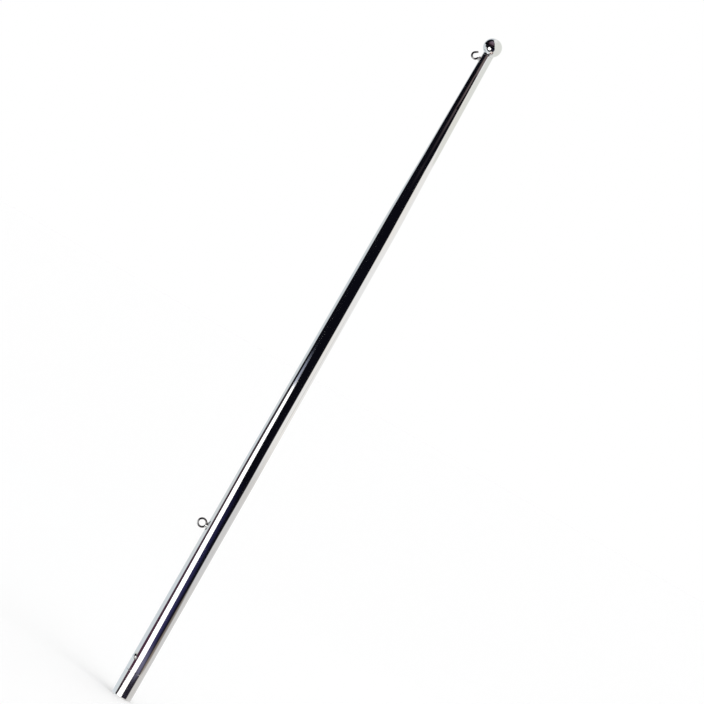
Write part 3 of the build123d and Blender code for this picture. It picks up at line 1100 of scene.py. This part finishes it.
def shown(red, green, blue):
    """Light of a card that the steel shows as this screen colour, from 0 to 255.

    It undoes the screen's curve, ((colour + 0.055) / 1.055)^2.4, and divides by what the steel gives back.
    """
    screen = np.array([red, green, blue]) / 255
    return np.where(screen <= 0.04045, screen / 12.92, ((screen + 0.055) / 1.055) ** 2.4) / METAL


card_light = bpy.data.materials.new("card_light")
card_light.use_nodes = True
card_tree = card_light.node_tree
card_tree.nodes.remove(card_tree.nodes["Principled BSDF"])
glow = card_tree.nodes.new("ShaderNodeAttribute")
glow.attribute_name = "glow"
emission = card_tree.nodes.new("ShaderNodeEmission")
clear = card_tree.nodes.new("ShaderNodeBsdfTransparent")
mix = card_tree.nodes.new("ShaderNodeMixShader")
card_tree.links.new(glow.outputs["Color"], emission.inputs["Color"])
card_tree.links.new(glow.outputs["Alpha"], mix.inputs["Fac"])
card_tree.links.new(clear.outputs["BSDF"], mix.inputs[1])
card_tree.links.new(emission.outputs["Emission"], mix.inputs[2])
card_tree.links.new(mix.outputs["Shader"], card_tree.nodes["Material Output"].inputs["Surface"])
print("light of a card that looks white:", shown(255, 255, 255).round(2).tolist())

# %% [markdown]
# A card is a patch of a sphere, and its sides are given by the directions in which the staff sees them.
# Lamps and planes could stand in the room instead, but a direction can be read off the band that it
# makes, and moved by a degree. Colour and cover are painted on the card's points, so that one light
# serves all cards, and an edge can be soft, as a thing's edge is in a room that isn't quite dark.

# %% Card helper
ROOM_RADIUS, ROOM_MIDDLE = 3.0, 0.6             # metres, the middle is a height on the staff
CARD_GAP = 0.01                                 # each card stands this much nearer than the one before
CARD_ROWS, CARD_COLUMNS = 90, 60
cards = []


def smooth(value):
    """S curve from 0 to 1: 3 t^2 - 2 t^3."""
    t = np.clip(value, 0, 1)
    return t * t * (3 - 2 * t)


def card(name, edges, low, high, soft, radius=ROOM_RADIUS, middle=ROOM_MIDDLE, strength=1.0):
    """Bent card on a sphere whose middle lies on the staff's axis.

    edges is a list of (elevation, left, right), in degrees round the staff from the camera's side, with
    straight lines between. A point is R * (cos e sin a, -cos e cos a, sin e). Its colour goes from low
    to high with the elevation, as the steel shows it. soft is how many degrees the left, right, lower
    and upper edges fade over.
    """
    edges = np.array(edges, float)
    bottom, top = edges[0, 0], edges[-1, 0]
    elevation = np.linspace(bottom, top, CARD_ROWS)[:, None]
    left = np.interp(elevation, edges[:, 0], edges[:, 1])
    right = np.interp(elevation, edges[:, 0], edges[:, 2])
    angle = left + (right - left) * np.linspace(0, 1, CARD_COLUMNS)
    e, a = np.radians(np.broadcast_to(elevation, angle.shape)), np.radians(angle)
    radius = radius - CARD_GAP * (len(cards) + 1)
    points = radius * np.stack([np.cos(e) * np.sin(a), -np.cos(e) * np.cos(a), np.sin(e)], axis=2)
    points[..., 2] += middle
    cover = smooth((angle - left) / soft[0]) * smooth((right - angle) / soft[1])
    cover = cover * smooth((elevation - bottom) / soft[2]) * smooth((top - elevation) / soft[3])
    share = ((elevation - bottom) / (top - bottom))[..., None]
    share = np.broadcast_to(share, (CARD_ROWS, CARD_COLUMNS, 1))
    low, high = shown(*low) * strength, shown(*high) * strength
    painted = np.concatenate([low + (high - low) * share, cover[..., None]], axis=2)
    i, j = np.meshgrid(np.arange(CARD_ROWS - 1), np.arange(CARD_COLUMNS - 1), indexing="ij")
    first = (i * CARD_COLUMNS + j).ravel()
    faces = np.stack([first, first + 1, first + CARD_COLUMNS + 1, first + CARD_COLUMNS], axis=1)
    mesh = bpy.data.meshes.new(name)
    mesh.from_pydata(points.reshape(-1, 3).tolist(), [], faces.tolist())
    layer = mesh.attributes.new("glow", "FLOAT_COLOR", "POINT")
    layer.data.foreach_set("color", painted.astype(np.float32).ravel())
    mesh.materials.append(card_light)
    piece = bpy.data.objects.new(name, mesh)
    bpy.context.scene.collection.objects.link(piece)
    piece.visible_camera = False
    piece.visible_diffuse = False
    piece.visible_shadow = False
    piece.visible_transmission = False
    cards.append(piece)


print("sphere of the room, metres:", ROOM_RADIUS, "round a height of", ROOM_MIDDLE)

# %% [markdown]
# The pale walls come first, and then the dark side of the studio in front of them. Its border leans and
# bends, because the floor, the wall and the ceiling meet there.

# %% Walls and dark side
card(
    "pale_wall_right",
    [(-75, 20, 179), (75, 20, 179)],
    low=(218, 216, 215),
    high=(240, 239, 237),
    soft=(6, 34, 12, 12),
)
card(
    "pale_floor_right",
    [(-75, 20, 179), (-4.5, 20, 179)],
    low=(188, 187, 186),
    high=(205, 204, 204),
    soft=(6, 34, 12, 3),
)
card(
    "wall_seam",
    [(-5, 96, 113), (3, 96, 113)],
    low=(208, 209, 209),
    high=(212, 212, 212),
    soft=(7, 7, 2, 2),
)
card(
    "pale_wall_left",
    [(-75, -179, -40), (75, -179, -40)],
    low=(222, 228, 230),
    high=(176, 184, 192),
    soft=(34, 6, 12, 12),
)
card(
    "dark_side",
    [
        (-68, -54, -22), (-62, -64, -4), (-58, -67, 6), (-47, -74, 14), (-42, -77, 32), (-34, -81, 56),
        (-24, -83, 62), (-18.6, -80, 67), (-17.3, -82, 75), (-15.3, -83, 72), (-12.4, -89, 64),
        (-10.5, -91, 60), (-8, -99, 63), (-4.7, -107, 57), (-1, -103, 58), (5, -100, 56),
        (8.6, -104, 50), (12, -120, 46), (15, -133, 30), (17.4, -137, 10), (18.4, -139, 26),
        (25, -134, 30), (38, -136, 24), (49, -136, 16), (60, -134, 2), (70, -126, -22), (78, -106, -66),
    ],
    low=(8, 8, 12),
    high=(12, 12, 22),
    soft=(8, 8, 5, 4),
)
print("cards:", ", ".join(piece.name for piece in cards))

# %% [markdown]
# The lamp stands in front of the dark side, in its frame. Below it hangs a navy cloth, which ends in a
# grey hem above the black floor, and brownish things stand low and high up. The lamp is brighter than
# white, so that the dark wire of hook and ring shows it too.

# %% Things in the dark
LAMP_OVER_WHITE = 1.6
WHITE = (255, 255, 255)
walls = len(cards)

card(
    "lamp_frame",
    [
        (-19, -82, -40), (-15.3, -83, -45), (-12.4, -89, -50), (-10.5, -91, -60), (-8, -99, -60),
        (-4.7, -106, -60), (-1.6, -104, -60),
    ],
    low=(76, 46, 64),
    high=(46, 42, 46),
    soft=(8, 2, 0.5, 1.0),
)
card(
    "navy_cloth",
    [(-18.4, -20, 60), (-14.3, -22, 52), (-10.5, -28, 42), (-7, -36, 34)],
    low=(62, 60, 104),
    high=(10, 12, 36),
    soft=(4, 48, 0.1, 2.5),
)
card(
    "grey_hem",
    [(-18.4, -20, 66), (-16.2, -20, 60)],
    low=(130, 130, 154),
    high=(84, 84, 116),
    soft=(4, 34, 0.1, 1.6),
)
card(
    "black_floor",
    [(-22, -20, 70), (-18.25, -20, 70)],
    low=(22, 18, 28),
    high=(22, 18, 28),
    soft=(4, 20, 1, 0.1),
)
card(
    "brown_edge",
    [(-18.3, 50, 96), (-15, 50, 92), (-12.5, 50, 78)],
    low=(128, 118, 110),
    high=(104, 96, 88),
    soft=(14, 26, 0.4, 2),
)
card(
    "brown_glimmer",
    [(11, -48, -2), (15.8, -48, 2), (17, -46, 16), (27, -46, 16)],
    low=(66, 62, 72),
    high=(140, 122, 114),
    soft=(24, 14, 6, 5),
)
card(
    "warm_shade",
    [(-89, -20, 130), (-74, 6, 112), (-52, 24, 84), (-38, 30, 62)],
    low=(88, 72, 68),
    high=(130, 108, 98),
    soft=(14, 16, 1, 8),
)
card(
    "warm_spot",
    [(-74, 4, 84), (-58, 12, 70), (-46, 16, 50)],
    low=(220, 202, 196),
    high=(230, 216, 208),
    soft=(9, 16, 6, 6),
)
card(
    "white_lamp",
    [
        (-43.5, -42, -26), (-39, -49, -15), (-35, -54, -9), (-28.5, -58, -3), (-20.5, -60, 2),
        (-18.5, -45, 4), (-17.9, -45, 10), (-16.8, -46, 5.5), (-13.9, -54, -4), (-11, -62, -13),
        (-8, -69, -22.5), (-4.7, -72, -32), (-1.7, -69, -37),
    ],
    low=WHITE,
    high=WHITE,
    soft=(3, 4, 3, 0.35),
    strength=LAMP_OVER_WHITE,
)
card(
    "lamp_glimmer",
    [(-2.2, -76, -38), (0.2, -76, -38)],
    low=(165, 172, 192),
    high=(60, 66, 86),
    soft=(12, 14, 0.3, 1.2),
)
print("cards:", ", ".join(piece.name for piece in cards[walls:]))

# %% [markdown]
# Small cards stand a hand's width round the ball, to shape what the ball alone shows: black ones leave it
# a round opening to the lamp and straighten the border above, a brown one tints its upper half, and a
# white one stands at its right side. The staff below looks past most of them.

# %% Cards near the ball
BALL_LEVEL = BALL_HEIGHT * MM
BLACK = (8, 8, 12)
room_cards = len(cards)

card(
    "black_flag_left",
    [(-44, -66, -46), (-37, -70, -52), (-28, -74, -51), (-21, -80, -46), (-15, -86, -37), (-11, -94, -26)],
    low=BLACK,
    high=BLACK,
    soft=(4, 2, 0.6, 0.1),
    radius=0.3,
    middle=BALL_LEVEL,
)
card(
    "black_flag_right",
    [
        (-50, -34, 2), (-48, -24, 4), (-42, -13, 8), (-32, -8, 12), (-23, -10, 12), (-16, -16, 12),
        (-12, -26, 12),
    ],
    low=BLACK,
    high=BLACK,
    soft=(2, 3, 2, 6),
    radius=0.3,
    middle=BALL_LEVEL,
)
card(
    "black_flag_top",
    [(3.5, -110, 16), (14, -112, 14), (24, -112, 8)],
    low=BLACK,
    high=BLACK,
    soft=(8, 4, 1, 5),
    radius=0.32,
    middle=BALL_LEVEL,
)
card(
    "brown_cloth",
    [(4, -84, 2), (30, -88, 8), (45, -90, 4), (55, -90, -4), (68, -90, -22)],
    low=(70, 40, 52),
    high=(122, 112, 124),
    soft=(38, 14, 6, 14),
    radius=0.33,
    middle=BALL_LEVEL,
)
card(
    "white_reflector",
    [
        (-62, 90, 179), (-50, 72, 179), (-44, 46, 179), (-35, 36, 179), (-24, 38, 179), (-8, 30, 179),
        (2, 26, 179), (10, 21, 179), (27, 9, 179), (46, 0, 179), (61, -15, 179), (71, -56, 179),
        (78, -100, 179),
    ],
    low=(218, 218, 213),
    high=(218, 219, 214),
    soft=(5, 8, 8, 2),
    radius=0.42,
    middle=BALL_LEVEL,
)
print("cards:", ", ".join(piece.name for piece in cards[room_cards:]))
